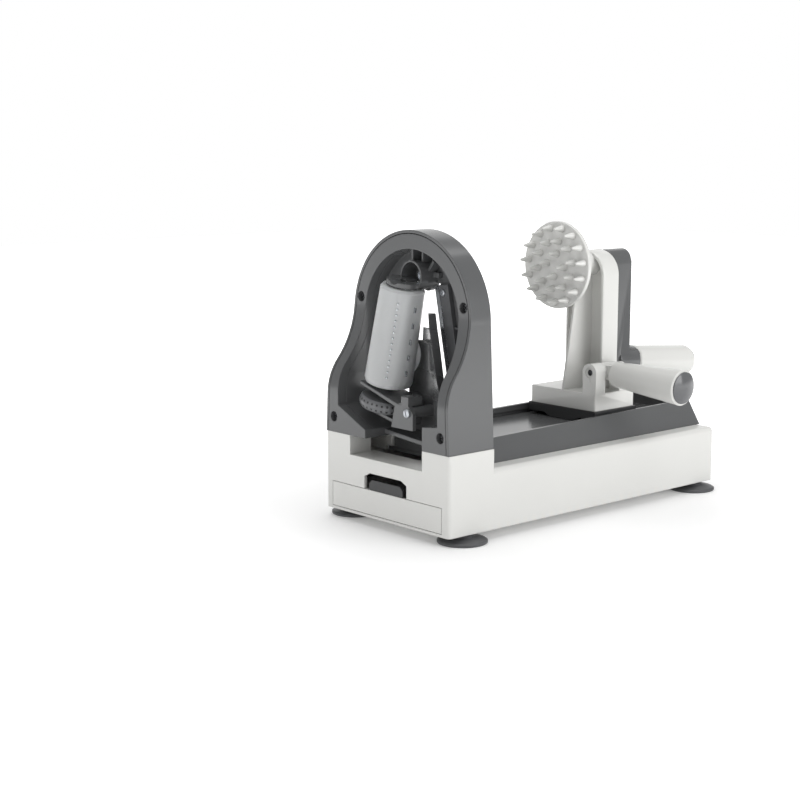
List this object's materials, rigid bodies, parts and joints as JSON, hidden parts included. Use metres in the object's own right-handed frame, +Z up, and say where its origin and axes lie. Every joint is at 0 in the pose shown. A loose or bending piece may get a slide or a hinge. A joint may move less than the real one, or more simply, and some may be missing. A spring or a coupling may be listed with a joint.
{
  "type": "spiralizer",
  "caption": "Tabletop spiralizer with a tall rounded arch, turning blade drum, sliding carriage, pronged disc, crank, folding push handle, suction feet and drawer.",
  "frame": {"origin": "centre of the base's outline on the table plane", "axes": "+X along the base from the arch towards the crank, +Z up, -Y towards the push handle"},
  "size_m": [0.354, 0.1906, 0.2253],
  "materials": {
    "white_plastic": "glossy moulded",
    "grey_plastic": "glossy moulded",
    "dark_plastic": "satin moulded",
    "cap_grey": "satin moulded",
    "frosted_plastic": "frosted",
    "foot_rubber": "satin",
    "blade_steel": "ground",
    "screw_steel": "machined",
    "bush_plastic": "satin moulded"
  },
  "bodies": {
    "base": {"base_tub": "white_plastic", "base_floor": "white_plastic", "floor_screws": "screw_steel", "rail_frame": "grey_plastic", "arch_shell": "grey_plastic", "arch_cover": "grey_plastic", "arch_screws": "screw_steel", "blade_holder": "cap_grey", "straight_blade": "blade_steel", "holder_screws": "screw_steel", "noodle_fin": "grey_plastic", "corer_collar": "grey_plastic", "corer_tube": "blade_steel", "drum_bracket": "grey_plastic", "bracket_screw": "screw_steel", "suction_foot_front_near": "foot_rubber", "suction_foot_front_far": "foot_rubber", "suction_foot_rear_near": "foot_rubber", "suction_foot_rear_far": "foot_rubber"},
    "blade_drum": {"drum_body": "frosted_plastic", "fine_teeth": "blade_steel", "coarse_teeth": "blade_steel", "flat_blade": "blade_steel", "selector_wheel": "white_plastic", "drum_axle": "screw_steel"},
    "drawer": {"drawer_tray": "white_plastic", "drawer_pull": "dark_plastic"},
    "carriage": {"carriage": "white_plastic", "slider": "dark_plastic", "slider_screws": "screw_steel", "shaft_bush_front": "bush_plastic", "shaft_bush_rear": "bush_plastic", "hinge_pin": "screw_steel"},
    "push_handle": {"push_grip": "white_plastic", "push_cap": "cap_grey"},
    "crank": {"prong_disc": "white_plastic", "prongs": "white_plastic", "crank_shaft": "screw_steel", "crank_arm": "grey_plastic", "arm_screw": "screw_steel", "grip_pin": "screw_steel"},
    "crank_handle": {"crank_grip": "white_plastic", "crank_cap": "cap_grey"}
  },
  "joints": [
    {"name": "blade_drum_turn", "type": "hinge", "parent": "base", "child": "blade_drum", "pos_m": [-0.1305, 0.0245, 0.0935], "axis": [0, -0.2233, 0.9748], "continuous": true},
    {"name": "drawer_slide", "type": "slide", "parent": "base", "child": "drawer", "axis": [-1, 0, 0], "range_m": [0, 0.12]},
    {"name": "carriage_slide", "type": "slide", "parent": "base", "child": "carriage", "axis": [1, 0, 0], "range_m": [-0.122, 0.045]},
    {"name": "push_handle_fold", "type": "hinge", "parent": "carriage", "child": "push_handle", "pos_m": [0.0622, -0.0288, 0.1043], "axis": [-1, 0, 0], "range_deg": [0, 75]},
    {"name": "crank_turn", "type": "hinge", "parent": "carriage", "child": "crank", "pos_m": [0.059, 0, 0.1902], "axis": [1, 0, 0], "continuous": true},
    {"name": "crank_grip_turn", "type": "hinge", "parent": "crank", "child": "crank_handle", "pos_m": [0.1123, 0, 0.105], "axis": [0.9957, 0, -0.0924], "continuous": true}
  ]
}
